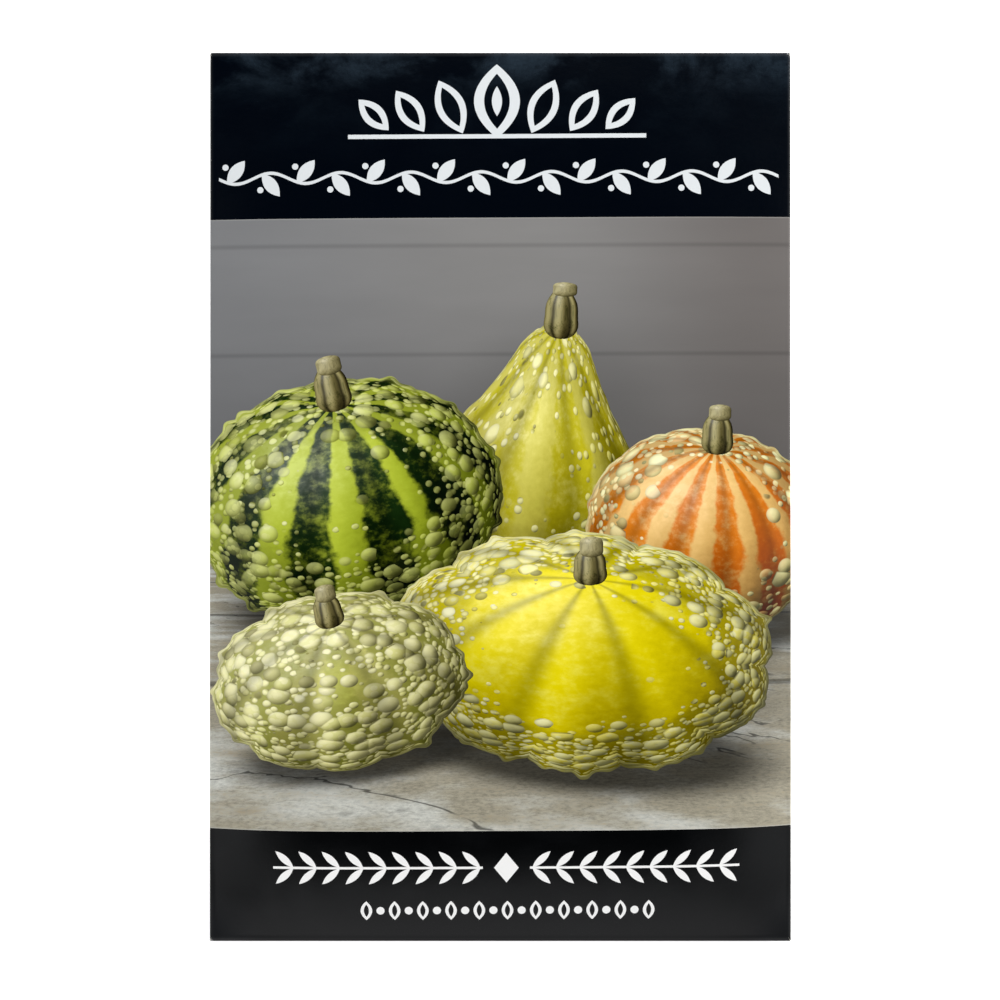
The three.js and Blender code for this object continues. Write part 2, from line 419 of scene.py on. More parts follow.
class Part(Enum):
    """The stretches of the flat sheet, across it and up it."""

    TAB = "tab"
    LEFT_FOLD = "left fold"
    FRONT = "front"
    RIGHT_FOLD = "right fold"
    BACK = "back"
    BOTTOM_FLAP = "bottom flap"
    BOTTOM_FOLD = "bottom fold"
    BODY = "body"
    TOP_FOLD = "top fold"
    TOP_FLAP = "top flap"


class Face(Enum):
    """The sheet's sides, in the order of the mesh's material slots."""

    FRONT_PRINT = 0
    BACK_PRINT = 1
    BARE = 2


@dataclass(frozen=True)
class Step:
    """One grid line of the sheet: the stretch that it is in, and how far along, from 0 to 1."""

    part: Part
    share: float


def steps_along(counts: dict[Part, int]) -> list[Step]:
    """Lists the grid lines of several stretches, each starting where the last one ends.

    Args:
        counts: how many steps each stretch has.

    Returns:
        The grid lines in order.
    """
    first = next(iter(counts))
    inner = [Step(part, (k + 1) / count) for part, count in counts.items() for k in range(count)]
    return [Step(first, 0.0), *inner]


def eased(share: float) -> float:
    """Crowds steps towards both ends of a panel, where the paper bends most."""
    return (share + (1 - math.cos(math.pi * share)) / 2) / 2


@dataclass
class FoldedSheet:
    """The packet's one sheet of paper, folded round the seeds, as a closed mesh of true thickness."""

    # How many steps each stretch is cut into
    COLUMNS = {Part.TAB: 10, Part.LEFT_FOLD: 6, Part.FRONT: 104, Part.RIGHT_FOLD: 8, Part.BACK: 92}
    ROWS = {Part.BOTTOM_FLAP: 12, Part.BOTTOM_FOLD: 8, Part.BODY: 152, Part.TOP_FOLD: 8, Part.TOP_FLAP: 18}
    # Share of the bake map's height that the inner face gets, and how much of that it uses
    INNER_STRIP = 0.1
    INNER_USED = 0.9
    # How many thicknesses of paper the bend of a crease takes, and how far from a corner its paper spreads
    CREASE = 1.4
    MITRE = 3.0

    form: PacketForm
    cockle: Cockle

    def __post_init__(self) -> None:
        """Lists the grid lines across and up the sheet."""
        self.columns = steps_along(self.COLUMNS)
        self.rows = steps_along(self.ROWS)

    def crease(self, share: float, radius: float) -> tuple[float, float]:
        """Gives how far out and how far up a fold is: pressed squarer than a circle where there is room.

        Args:
            share: how far along the fold, from 0 to 1.
            radius: half the height of the fold.

        Returns:
            Both as shares of the radius.
        """
        power = min(self.CREASE * self.form.paper / radius, 1)
        out, up = math.sin(math.pi * share), math.cos(math.pi * share)
        return abs(out) ** power, math.copysign(abs(up) ** power, up)

    def near_corner(self, place: np.ndarray, end: float) -> np.ndarray:
        """Goes from 0 to 1 over the last stretch before a corner, and has the sign of the place."""
        return np.sign(place) * smooth(end - self.MITRE, end, np.abs(place))

    def column_line(self, step: Step, y: np.ndarray) -> tuple[float, np.ndarray, float]:
        """Places one grid line that runs up the body.

        Args:
            step: which line.
            y: places up the body.

        Returns:
            The line's x, its heights, and its place across the flat sheet.
        """
        form = self.form
        left_arc, right_arc = math.pi * form.tab_fold, math.pi * form.half_gap
        if step.part is Part.TAB:
            x = form.front_left + form.seam_tab * (1 - step.share)
            return x, form.back(x, y) + form.layer_step, 2 * form.front_left - left_arc - x
        if step.part is Part.LEFT_FOLD:
            out, up = self.crease(step.share, form.tab_fold)
            middle = form.back(form.front_left, y) + form.layer_step + form.tab_fold
            flat = form.front_left - left_arc * (1 - step.share)
            return form.front_left - form.tab_fold * out, middle - form.tab_fold * up, flat
        if step.part is Part.FRONT:
            x = form.front_left + (form.front_right - form.front_left) * eased(step.share)
            return x, form.front(x, y) + self.cockle.height(form, x, y), x
        if step.part is Part.RIGHT_FOLD:
            out, up = self.crease(step.share, form.half_gap)
            flat = form.front_right + right_arc * step.share
            return form.front_right + form.half_gap * out, form.rim(y) + form.half_gap * up, flat
        free_edge = -form.width / 2 + form.seam_inset
        x = form.front_right + (free_edge - form.front_right) * eased(step.share)
        return x, form.back(x, y), 2 * form.front_right + right_arc - x

    def flap_row(self, step: Step, x: np.ndarray) -> tuple[np.ndarray, np.ndarray, np.ndarray, float]:
        """Places one grid line that runs across an end fold or a flap.

        Args:
            step: which line.
            x: places across the front.

        Returns:
            The line's x, y and heights, and its place up the flat sheet.
        """
        form = self.form
        end = 1 if step.part in (Part.TOP_FOLD, Part.TOP_FLAP) else -1
        along = step.share if end > 0 else 1 - step.share
        arc = math.pi * form.end_fold
        if step.part in (Part.TOP_FOLD, Part.BOTTOM_FOLD):
            out, up = self.crease(along, form.end_fold)
            y = end * (form.body_end + form.end_fold * out)
            height = form.rim(np.array(y)) - form.layer_step / 2 + form.end_fold * up
            overhang = np.where(x > 0, form.half_gap, form.tab_fold) * out
            spread = x + overhang * self.near_corner(x, form.front_right)
            return spread, np.full_like(x, y), np.full_like(x, height), end * (form.body_end + arc * along)
        length = form.top_flap if end > 0 else form.bottom_flap
        side = np.abs(x) / (form.width / 2)
        corner = form.flap_corner * along * smooth(form.flap_corner_from, 1, side)
        inset = x * (1 - form.flap_taper * along)
        y = end * (form.body_end - length * along + corner)
        flat = end * (form.body_end + arc + length * along)
        return inset, y, form.back(inset, y) - form.layer_step, flat

    def middle_surface(self) -> tuple[np.ndarray, np.ndarray, np.ndarray]:
        """Works out the middle of the paper at every grid point.

        Returns:
            The points, the same points on the flat sheet, and which grid points are paper.
        """
        form = self.form
        points = np.zeros((len(self.columns), len(self.rows), 3))
        flat = np.zeros((len(self.columns), len(self.rows), 2))
        paper = np.zeros((len(self.columns), len(self.rows)), bool)
        front = [i for i, step in enumerate(self.columns) if step.part is Part.FRONT]
        front = [front[0] - 1, *front]
        body = [j for j, step in enumerate(self.rows) if step.part is Part.BODY]
        body = [body[0] - 1, *body]
        shares = [0.0, *(self.rows[j].share for j in body[1:])]
        y = np.array([form.body_end * (2 * eased(share) - 1) for share in shares])
        for i, step in enumerate(self.columns):
            x, height, across = self.column_line(step, y)
            side_fold = step.part in (Part.LEFT_FOLD, Part.RIGHT_FOLD)
            radius = form.tab_fold if step.part is Part.LEFT_FOLD else form.half_gap
            overhang = form.end_fold * self.crease(step.share, radius)[0] if side_fold else 0
            spread = y + overhang * self.near_corner(y, form.body_end)
            points[i, body] = np.stack([np.full_like(y, x), spread, height], 1)
            flat[i, body] = np.stack([np.full_like(y, across), y], 1)
            paper[i, body] = True
        for j, step in enumerate(self.rows):
            if j in body:
                continue
            x, flap_y, height, up = self.flap_row(step, flat[front, body[0], 0])
            points[front, j] = np.stack([x, flap_y, height], 1)
            flat[front, j] = np.stack([flat[front, body[0], 0], np.full(len(front), up)], 1)
            paper[front, j] = True
        return points, flat, paper

    def dress(self) -> bpy.types.Object:
        """Makes the sheet and gives each of its sides its finish.

        Returns:
            The new piece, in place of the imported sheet.
        """
        sheet = self.build()
        back_middle = 2 * self.form.front_right + math.pi * self.form.half_gap
        finishes = {
            Face.FRONT_PRINT: PrintedFront(),
            Face.BACK_PRINT: PrintedBack(centre=back_middle),
            Face.BARE: BarePaper(),
        }
        for face in Face:
            sheet.data.materials.append(finishes[face].make())
        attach(sheet, BODY)
        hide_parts("packet_sheet")
        return sheet

    def build(self) -> bpy.types.Object:
        """Makes the sheet: its outer and inner faces, and the cut edges between them.

        Returns:
            The new object, with one map in millimetres of the flat sheet and one to bake through.
        """
        points, flat, paper = self.middle_surface()
        number = np.full(paper.shape, -1)
        number[paper] = np.arange(paper.sum())
        corners = [number[:-1, :-1], number[1:, :-1], number[1:, 1:], number[:-1, 1:]]
        cells = np.stack(corners, -1)
        whole = (cells >= 0).all(-1)
        back_from = next(i for i, step in enumerate(self.columns) if step.part is Part.RIGHT_FOLD)
        back_from += self.COLUMNS[Part.RIGHT_FOLD] // 2
        on_back = np.broadcast_to(np.arange(len(self.columns) - 1)[:, None] >= back_from, whole.shape)
        quads, slots = cells[whole], on_back[whole].astype(int)
        middle, sheet = points[paper], flat[paper]
        normals = self._normals(middle, quads)
        half = self.form.paper / 2
        places = np.concatenate([middle + normals * half, middle - normals * half]) * MM
        count = len(middle)
        walls = self._walls(quads, count)
        faces = np.concatenate([quads, quads[:, ::-1] + count, walls])
        slots = np.concatenate([slots, np.full(len(quads) + len(walls), Face.BARE.value)])
        mesh = bpy.data.meshes.new("folded_sheet")
        mesh.from_pydata(places.tolist(), [], faces.tolist())
        mesh.polygons.foreach_set("material_index", slots.astype(np.int32))
        mesh.polygons.foreach_set("use_smooth", np.arange(len(faces)) < 2 * len(quads))
        self._write_map(mesh, SHEET_MAP, np.concatenate([sheet, sheet])[faces].reshape(-1, 2))
        low, size = sheet.min(0), np.ptp(sheet, 0)
        outside = (sheet - low) / size * (1, 1 - self.INNER_STRIP) + (0, self.INNER_STRIP)
        inside = (sheet - low) / size * (1, self.INNER_STRIP * self.INNER_USED)
        self._write_map(mesh, BAKE_MAP, np.concatenate([outside, inside])[faces].reshape(-1, 2))
        mesh.uv_layers[SHEET_MAP].active_render = True
        mesh.validate()
        piece = bpy.data.objects.new("folded_sheet", mesh)
        bpy.context.scene.collection.objects.link(piece)
        return piece

    @staticmethod
    def _normals(middle: np.ndarray, quads: np.ndarray) -> np.ndarray:
        """Averages the directions that the faces at each point look in.

        Args:
            middle: the points.
            quads: the faces, by the numbers of their points.

        Returns:
            One direction for each point, of length 1.
        """
        a, b, c, d = (middle[quads[:, k]] for k in range(4))
        facing = np.cross(c - a, d - b)
        facing /= np.linalg.norm(facing, axis=1, keepdims=True)
        normals = np.zeros_like(middle)
        for k in range(4):
            np.add.at(normals, quads[:, k], facing)
        return normals / np.linalg.norm(normals, axis=1, keepdims=True)

    @staticmethod
    def _walls(quads: np.ndarray, count: int) -> np.ndarray:
        """Makes the cut edges of the paper.

        Args:
            quads: the outer faces.
            count: how much higher the inner point's number is than the outer one's.

        Returns:
            One face for each outer edge that only one outer face has.
        """
        edges = np.concatenate([quads[:, [k, (k + 1) % 4]] for k in range(4)])
        both_ways = {tuple(edge) for edge in edges.tolist()}
        open_edges = np.array([edge for edge in edges.tolist() if (edge[1], edge[0]) not in both_ways])
        start, end = open_edges[:, 0], open_edges[:, 1]
        return np.stack([start, start + count, end + count, end], 1)

    @staticmethod
    def _write_map(mesh: bpy.types.Mesh, name: str, places: np.ndarray) -> None:
        """Adds a map to the mesh, with one place for each corner of each face."""
        layer = mesh.uv_layers.new(name=name)
        layer.uv.foreach_set("vector", places.astype(np.float32).ravel())


@dataclass(frozen=True)
class Painted:
    """One rounded thing in the printed picture: a squash, its stem or the stem's cut end.

    Places and sizes are in millimetres on the paper, and angles in degrees. tilt is how far the stem end
    leans towards the viewer, and roll how far the form leans left. The other numbers are shares: rib_depth
    and scallop of the half size, and the rest of the most that a form can have. warts_from is how far out
    the warts begin. A squared form has the blunt outline of a stem, and casts no shadow.
    """

    # A stem leans this much further left than its squash, in degrees, and has this many ribs
    STEM_LEAN = 6
    STEM_RIBS = 6
    # How far the stem's middle and its cut end are above the squash's top, in halves of the stem's height
    STEM_MIDDLE = 0.7
    STEM_END = 1.62
    CUT_TILT = 80

    x: float
    y: float
    half_width: float
    half_height: float
    skin: str
    mark: str
    wart: str = "e6e3b0"
    roll: float = 0
    tilt: float = 25
    ribs: int = 10
    rib_depth: float = 0.35
    scallop: float = 0.03
    neck: float = 0
    stripes: float = 0
    mottle: float = 0.4
    warts: float = 0
    warts_from: float = 0
    stem: float = 0
    squared: bool = False

    def along(self, reach: float) -> tuple[float, float]:
        """Finds the place that far from the middle towards the top."""
        roll = math.radians(self.roll)
        return self.x - math.sin(roll) * reach, self.y + math.cos(roll) * reach

    def parts(self) -> list["Painted"]:
        """Lists the forms that one squash is painted with.

        Returns:
            The squash, the stem where its ribs meet, and the stem's cut end, from back to front.
        """
        lean = math.radians(self.tilt)
        half = self.stem * (0.3 + 0.45 * math.cos(lean))
        pole = self.half_height * math.cos(lean)
        stalk_x, stalk_y = self.along(pole + half * self.STEM_MIDDLE)
        cut_x, cut_y = self.along(pole + half * self.STEM_END)
        stalk = Painted(
            stalk_x, stalk_y, self.stem * 0.5, half, "a39a6c", "5f6036", roll=self.roll + self.STEM_LEAN,
            tilt=self.tilt / 2, ribs=self.STEM_RIBS, rib_depth=0.8, neck=0.35, mottle=0.9, squared=True,
        )
        cut = Painted(
            cut_x, cut_y, self.stem * 0.34, self.stem * (0.1 + 0.24 * math.sin(lean)), "b5ad84", "736c48",
            roll=self.roll + self.STEM_LEAN, tilt=self.CUT_TILT, ribs=self.STEM_RIBS, rib_depth=0.2,
            mottle=0.6, squared=True,
        )
        return [self, stalk, cut]


class StillLife:
    """The printed picture: striped, scalloped, warty and pear-shaped squashes on weathered boards.

    The forms are laid from back to front, and each place keeps only what the front-most one has there. The
    skin and the light on it are then worked out once.
    """

    # Where wall and table meet, and how far in front of the boards' vanishing line that is
    HORIZON = -6.0
    EYE_DROP = 7.0
    # Where the picture's light comes from, and the slope that mirrors it to the viewer
    LIGHT = Vector((-0.5, 0.62, 0.6)).normalized()
    GLINT = (LIGHT + Vector((0, 0, 1))).normalized()
    # Large and small warts for each millimetre of a squash's half width
    KNOB_DENSITY = 0.29
    BEAD_DENSITY = 0.72
    # How unevenly the warts are scattered, and how far towards the light a wart's slope is measured
    SCATTER = 0.75
    NUDGE = 0.02
    # How far the warts push a squash's outline out, as a share of its half size
    WART_BULGE = 0.07
    # Boards of the table for each step away, and where the first joint lies
    BOARD_PITCH = 0.55
    BOARD_SHIFT = 0.2
    SQUASHES = (
        Painted(5.5, 5.0, 16.5, 20.5, "cfc62c", "efe99a", roll=-9, tilt=24, ribs=9, neck=0.48, stripes=0.35,
                warts=0.5, warts_from=0.2, wart="e9e5a8", stem=5.2),
        Painted(-22.0, -0.5, 23.0, 18.0, "1d3810", "bcc944", roll=7, tilt=40, ribs=12, stripes=1,
                mottle=0.6, warts=0.75, warts_from=0.3, wart="cfd386", stem=5.4),
        Painted(29.0, -5.0, 17.5, 15.0, "dd8418", "efdf9a", roll=-8, tilt=38, ribs=14, stripes=0.6,
                warts=0.7, warts_from=0.5, stem=4.8),
        Painted(11.5, -22.0, 28.5, 17.5, "eadb00", "f0ea74", roll=-5, tilt=54, ribs=10, scallop=0.12,
                rib_depth=0.42, mottle=0.45, warts=1.0, warts_from=0.5, stem=5.0),
        Painted(-23.0, -26.0, 19.0, 13.0, "dcd982", "b7bf4e", roll=8, tilt=50, ribs=9, scallop=0.1,
                rib_depth=0.4, stripes=0.4, warts=1.0, warts_from=0.1, wart="eeeab8", stem=4.4),
    )

    def __init__(self, tree: bpy.types.NodeTree, x: Socket, y: Socket) -> None:
        """Starts with an empty picture.

        Args:
            tree: the node tree that the picture is drawn in.
            x: place across the print, in millimetres.
            y: place up the print, in millimetres.
        """
        nowhere, black = (0, 0, 0), srgb("000000")
        self.formula = Formula(
            tree, x=x, y=y, place=nowhere, shape=nowhere, habits=nowhere, warts=nowhere, skin=black,
            mark=black, wart=black, cover=0.0, shade=1.0, horizon=self.HORIZON, drop=self.EYE_DROP,
            lx=self.LIGHT.x, ly=self.LIGHT.y, lz=self.LIGHT.z, gx=self.GLINT.x, gy=self.GLINT.y,
            gz=self.GLINT.z, knobs=self.KNOB_DENSITY, scatter=self.SCATTER, nudge=self.NUDGE,
            board_pitch=self.BOARD_PITCH, board_shift=self.BOARD_SHIFT,
        )

    def draw(self) -> Socket:
        """Draws the whole picture.

        Returns:
            Its colour at each place.
        """
        for squash in self.SQUASHES:
            for form in squash.parts():
                self._lay(form)
        self._light_skin()
        self._draw_wall()
        self._draw_table()
        return self.formula("mix(cover, mix(ramp(horizon + 1.3, horizon - 0.8, y), wall, table), lit_skin)")

    def _lay(self, form: Painted) -> None:
        """Lays one form over those behind it, and darkens what it casts its shadow on.

        Args:
            form: what is laid.
        """
        let = self.formula.let
        roll = math.radians(form.roll)
        lean = math.radians(form.tilt)
        self.formula.names.update(
            cx=form.x, cy=form.y, wide=form.half_width, tall=form.half_height, c=math.cos(roll),
            s=math.sin(roll), lean=math.sin(lean), rise=math.cos(lean), neck=form.neck, dip=form.scallop,
            half_ribs=form.ribs / 2, bulge=self.WART_BULGE * form.warts,
            skin_here=srgb(form.skin), mark_here=srgb(form.mark), wart_here=srgb(form.wart),
            shape_here=(form.ribs, form.rib_depth, lean), habits_here=(form.stripes, form.mottle, 0),
            warts_here=(form.warts, form.warts_from, 0),
        )
        let(
            side="((x - cx) * c + (y - cy) * s) / wide",
            up="((y - cy) * c - (x - cx) * s) / tall",
        )
        if not form.squared:
            let(
                cast="ramp(0.6, 1.3, sqrt((side - 0.12) ** 2 + (up + 0.12) ** 2))",
                foot="ramp(0.66, 1.12, sqrt((side / 1.02 - 0.08) ** 2 + ((up + 0.8) / 0.36) ** 2))",
                shade="shade * (0.5 + 0.5 * cast) * (0.12 + 0.88 * foot)",
            )
        else:
            let(up="up * abs(up)")
        if form.neck:
            let(side="side / (1 - neck * ramp(-0.3, 0.75, up))")
        let(
            far="side ** 2 + up ** 2",
            rim="ramp(0.3, 1, far)",
            size="1 - dip * rim * (1 - sqrt(abs(cos(atan2(side, -lean * up) * half_ribs)) + 0.02))",
        )
        if form.warts:
            let(
                ring="1 / sqrt(max(far, 0.01))",
                on_rim="point(side * ring, up * ring * rise, -lean * up * ring)",
                knob="cells(on_rim, wide * knobs, scatter)",
                size="size + bulge * ramp(0.8, 1, far) * (ramp(0.6, 0.1, knob) - 0.7)",
            )
        let(
            side="side / size",
            up="up / size",
            inside="below(side ** 2 + up ** 2, 1)",
            place="pick(inside, place, point(side, up, wide))",
            shape="pick(inside, shape, shape_here)",
            habits="pick(inside, habits, habits_here)",
            warts="pick(inside, warts, warts_here)",
            skin="mix(inside, skin, skin_here)",
            mark="mix(inside, mark, mark_here)",
            wart="mix(inside, wart, wart_here)",
            cover="max(cover, inside)",
            shade="max(inside, shade)",
        )

    def _light_skin(self) -> None:
        """Colours and lights the front-most form in the picture's soft light from the upper left."""
        let = self.formula.let
        let(
            side="x_of(place)",
            up="y_of(place)",
            wide="z_of(place)",
            ribs="x_of(shape)",
            depth="y_of(shape)",
            lean="sin(z_of(shape))",
            rise="cos(z_of(shape))",
            out="sqrt(max(1 - side ** 2 - up ** 2, 0))",
            high="up * rise + out * lean",
            deep="out * rise - up * lean",
            turn="atan2(side, deep) * ribs",
            spot="point(side, high, deep)",
            toward="plus(spot, scaled(point(lx, ly * rise + lz * lean, lz * rise - ly * lean), nudge))",
            broad="noise(spot, 3.2, 5, 0.62)",
            fine="noise(spot, 15, 4, 0.6)",
            start="y_of(warts)",
        )
        self.formula.names["warty"] = self._wartiness("spot")
        let(
            stripe="ramp(-0.15, 0.55, cos(turn) + (broad - 0.5) * 3.4) * x_of(habits)",
            patch="ramp(0.46, 0.66, broad * 0.6 + fine * 0.4) * y_of(habits)",
            colour="mix(max(stripe, patch), skin, mark)",
            rib_slope="sin(turn) * (deep * lx + side * (lean * ly - rise * lz))",
            smooth="side * lx + up * ly + out * lz + depth * rib_slope",
            facing="smooth + (fine - 0.5) * 0.35",
            open_to_light="1 - 0.4 * ramp(0.2, 0.8, warty)",
        )
        for density in (self.BEAD_DENSITY, self.KNOB_DENSITY):
            self.formula.names["density"] = density
            let(
                count="wide * density",
                reach="cells(spot, count, scatter)",
                slope="(cells(toward, count, scatter) - reach) / (nudge * count)",
                luck="chance(spot, count, scatter)",
                centre="middle(spot, count, scatter)",
            )
            self.formula.names["dense"] = self._wartiness("centre")
            let(
                edge="min(reach / (0.28 + 0.16 * y_of(luck) + 0.2 * dense), 1)",
                wart_here="ramp(-0.03, 0.03, x_of(luck) - 1 + 1.15 * dense) * ramp(1, 0.86, edge)",
                domed="smooth * sqrt(1 - 0.7 * edge ** 2) + 0.85 * edge * slope + (fine - 0.5) * 0.25",
                facing="facing + wart_here * (domed - facing)",
                open_to_light="open_to_light + wart_here * (1 - 0.4 * edge ** 4 - open_to_light)",
                colour="mix(wart_here * (0.45 + 0.5 * z_of(luck)), colour, wart)",
            )
        let(
            edge_on="ramp(0.34, 0.1, out) * ramp(0.2, 0.8, warty)",
            facing="facing + edge_on * (smooth + (fine - 0.5) * 0.6 - facing)",
            open_to_light="open_to_light + edge_on * (0.85 - open_to_light)",
            colour="mix(edge_on * 0.6, colour, wart)",
            lit="ramp(-0.75, 1.15, facing)",
            grooves="1 - depth * (0.5 - 0.5 * cos(turn)) ** 5",
            bright="(0.1 + 0.12 * max(-up, 0) ** 2 + 1.1 * lit) * grooves * open_to_light"
                   " * (0.25 + 0.75 * shade)",
            gloss="min(max(side * gx + up * gy + out * gz + 0.4 * (facing - smooth), 0), 1)",
            lit_skin="plus(scaled(gamma(colour, 1.7 - 0.7 * lit), bright), 0.14 * lit * gloss ** 20)",
        )

    def _wartiness(self, place: str) -> Value:
        """Finds how densely warts cover the skin at a place.

        Args:
            place: name of a place on the skin, as a point from the form's middle.

        Returns:
            A share from 0 to 1.
        """
        self.formula.let(
            far=f"x_of({place}) ** 2 + (y_of({place}) * rise - z_of({place}) * lean) ** 2",
            patchy=f"noise({place}, 3.2, 5, 0.62) + 0.3 * ramp(start - 0.2, start + 0.3, far)",
        )
        return self.formula("x_of(warts) * ramp(0.3, 0.62, patchy) * ramp(start - 0.35, start + 0.2, far)")

    def _draw_wall(self) -> None:
        """Draws the boarded wall, out of focus."""
        self.formula.let(
            streak="noise(point(x / 26, y / 6, 0), 1, 4, 0.5)",
            joint="ramp(0.035, 0, abs(fract((y + 3) / 15.5) - 0.5))",
            wall_light="(0.9 + 0.2 * streak) * (1 - 0.2 * joint) * (1 - 0.28 * ramp(36, 8, y))"
                       " * (0.45 + 0.55 * shade)",
            wall_colour="mix(ramp(6, 38, x), mix(ramp(-42, 4, x), '828385', '888786'), '736f6d')",
            wall="scaled(wall_colour, wall_light)",
        )

    def _draw_table(self) -> None:
        """Draws the weathered boards in perspective: grain, stains, specks, splits and joints."""
        self.formula.let(
            near="max(horizon - y, 0) + drop",
            across="x / near",
            away="90 / near",
            boards="away * board_pitch + board_shift",
            board="floor(boards)",
            along_grain="point(across * 1.1 + board * 3.7, away * 7, 0)",
            on_board="point(across, away * 1.6, board)",
            grain="noise(along_grain, 1.6, 7, 0.68, 0.4)",
            stain="noise(on_board, 1.5, 5, 0.62)",
            speck="noise(on_board, 42, 5, 0.8)",
            pit="ramp(0.3, 0.12, cells(on_board, 9, 1)) * ramp(0.5, 0.62, stain)",
            split="ramp(0.008, 0.002, abs(noise(on_board, 0.8, 5, 0.55, 0.6) - 0.5))"
                  " * ramp(0.42, 0.5, stain)",
            gap="ramp(0.035, 0.012, fold(boards, 0.5))",
            table_light="(0.58 + 0.5 * grain + 0.6 * (stain - 0.42) + 1.7 * (speck - 0.5))"
                        " * (1 - 0.7 * split) * (1 - 0.55 * gap) * (1 - 0.35 * pit)"
                        " * (0.05 + 0.95 * shade)",
            board_colour="mix(ramp(0.42, 0.62, stain), 'aca693', 'cbccc4')",
            stained="mix(0.6 * ramp(0.52, 0.66, speck * 0.5 + grain * 0.5), board_colour, '8a7654')",
            table="scaled(stained, table_light)",
        )


class Ornaments:
    """Rows of plain leaves and seeds, printed in pale ink in the two bands.

    Each row is drawn about its own middle, and gives how much ink a place has, from 0 to 1. Sizes are in
    millimetres on the paper.
    """

    # Width of the ink's soft edge
    EDGE = 0.05

    def __init__(self, tree: bpy.types.NodeTree, x: Value, y: Value) -> None:
        """Starts a drawing.

        Args:
            tree: the node tree that it is drawn in.
            x: place to the right of the row's middle.
            y: place above the row's middle.
        """
        self.formula = Formula(tree, x=x, y=y, edge=self.EDGE)
        self.formula.let(m="abs(x)")

    def leaf(self, x: str, y: str, length: float, width: float, turn: float, stroke: float = 0) -> Value:
        """Draws one pointed leaf.

        Args:
            x: formula for the place to the right of the leaf's middle.
            y: formula for the place above the leaf's middle.
            length: its length.
            width: its width.
            turn: how far its tip leans left from straight up, in degrees.
            stroke: thickness of its outline, or 0 if it is solid.

        Returns:
            Its ink.
        """
        self.formula.names.update(
            c=math.cos(math.radians(turn)), s=math.sin(math.radians(turn)), half=length / 2, wide=width / 2,
            stroke=stroke,
        )
        self.formula.let(
            right=x,
            above_middle=y,
            share="(above_middle * c - right * s) / half",
            within="wide * (1 - share ** 2) - abs(right * c + above_middle * s)",
        )
        if not stroke:
            return self.formula("ramp(0, edge, within)")
        return self.formula("ramp(0, edge, within) * ramp(stroke + edge, stroke, within)")

    def seed_row(self) -> Value:
        """Draws the large row: an upright seed outline, with leaves that lean away on both sides.

        Returns:
            The row's ink, from 0 to 1.
        """
        seed = self.leaf("x", "y", length=10.7, width=6.6, turn=0, stroke=1.45)
        kernel = self.leaf("x", "y", length=4.4, width=1.5, turn=0)
        ink = self.formula("max(seed, kernel)", seed=seed, kernel=kernel)
        for place, length, turn in ((6.6, 8.4, -24), (12.4, 7.2, -34), (17.6, 6.2, -44)):
            leaf = self.leaf(f"m - {place}", f"y + {5.0 - length / 2}", length, length / 2, turn, 0.95)
            ink = self.formula("max(ink, leaf)", ink=ink, leaf=leaf)
        return self.formula("max(ink, ramp(edge, 0, abs(y + 5.05) - 0.28) * ramp(21.3, 21.2, m))", ink=ink)

    def vine_row(self) -> Value:
        """Draws the long row: a waving stem with a leaf and a bud in each of its bends.

        Returns:
            The row's ink, from 0 to 1.
        """
        self.formula.names.update(pitch=5.0, reach=40.0)
        self.formula.let(
            cell="(fract(x / pitch) - 0.5) * pitch",
            flipped="y * (1 - 2 * above(fract(x / pitch / 2), 0.5))",
            stem="ramp(0.26, 0.2, abs(flipped + 0.75 * cos(cell / pitch * 3.14159)))",
            bud="ramp(0.42 + edge, 0.42, sqrt((cell + 1.5) ** 2 + (flipped - 1.65) ** 2))",
        )
        leaf = self.leaf("cell", "flipped - 0.95", length=4.2, width=1.9, turn=-38)
        return self.formula("max(max(leaf, bud), stem) * ramp(reach, reach - 0.1, m)", leaf=leaf)

    def laurel_row(self) -> Value:
        """Draws the lower row: two straight sprigs of paired leaves that meet at a diamond.

        Returns:
            The row's ink, from 0 to 1.
        """
        self.formula.names.update(pitch=3.3, reach=33.0, gap=3.3)
        self.formula.let(
            cell="(fract((m - gap) / pitch) - 0.5) * pitch",
            stem="ramp(0.2, 0.14, abs(y))",
            diamond="ramp(1.05, 1, m / 1.7 + abs(y) / 2.1)",
        )
        leaf = self.leaf("cell", "abs(y) - 1.2", length=3.5, width=1.05, turn=-48)
        self.formula.let(ends="ramp(gap, gap + edge, m) * ramp(reach, reach - edge, m)")
        return self.formula("max(max(leaf, stem) * ends, diamond)", leaf=leaf)

    def bead_row(self) -> Value:
        """Draws the smallest row: dots and upright seeds in turn.

        Returns:
            The row's ink, from 0 to 1.
        """
        self.formula.names.update(pitch=2.0, reach=21.0)
        self.formula.let(
            cell="(fract(x / pitch + 0.5) - 0.5) * pitch",
            odd="above(fract((x / pitch + 0.5) / 2), 0.5)",
            dot="ramp(0.55 + edge, 0.55, sqrt(cell ** 2 + y ** 2))",
        )
        seed = self.leaf("cell", "y", length=2.9, width=1.7, turn=0, stroke=0.46)
        return self.formula("(dot * odd + seed * (1 - odd)) * ramp(reach, reach - edge, m)", seed=seed)


@dataclass(frozen=True)
class Finish:
    """A surface of one real material. Its look method says what the surface is made of."""

    name: str

    def make(self) -> bpy.types.Material:
        """Makes the material.

        Returns:
            The material, ready for a mesh.
        """
        material = bpy.data.materials.new(self.name)
        material.use_nodes = True
        tree = material.node_tree
        tree.nodes.clear()
        surface = add_node(tree, "ShaderNodeBsdfPrincipled", inputs=self.look(tree))
        add_node(tree, "ShaderNodeOutputMaterial", inputs={"Surface": surface}, output=None)
        return material

    def look(self, tree: bpy.types.NodeTree) -> dict[str, Value]:
        """Gives the inputs of the surface.

        Args:
            tree: the material's node tree.

        Returns:
            A socket or a constant for each input of the Principled shader that matters.
        """
        raise NotImplementedError


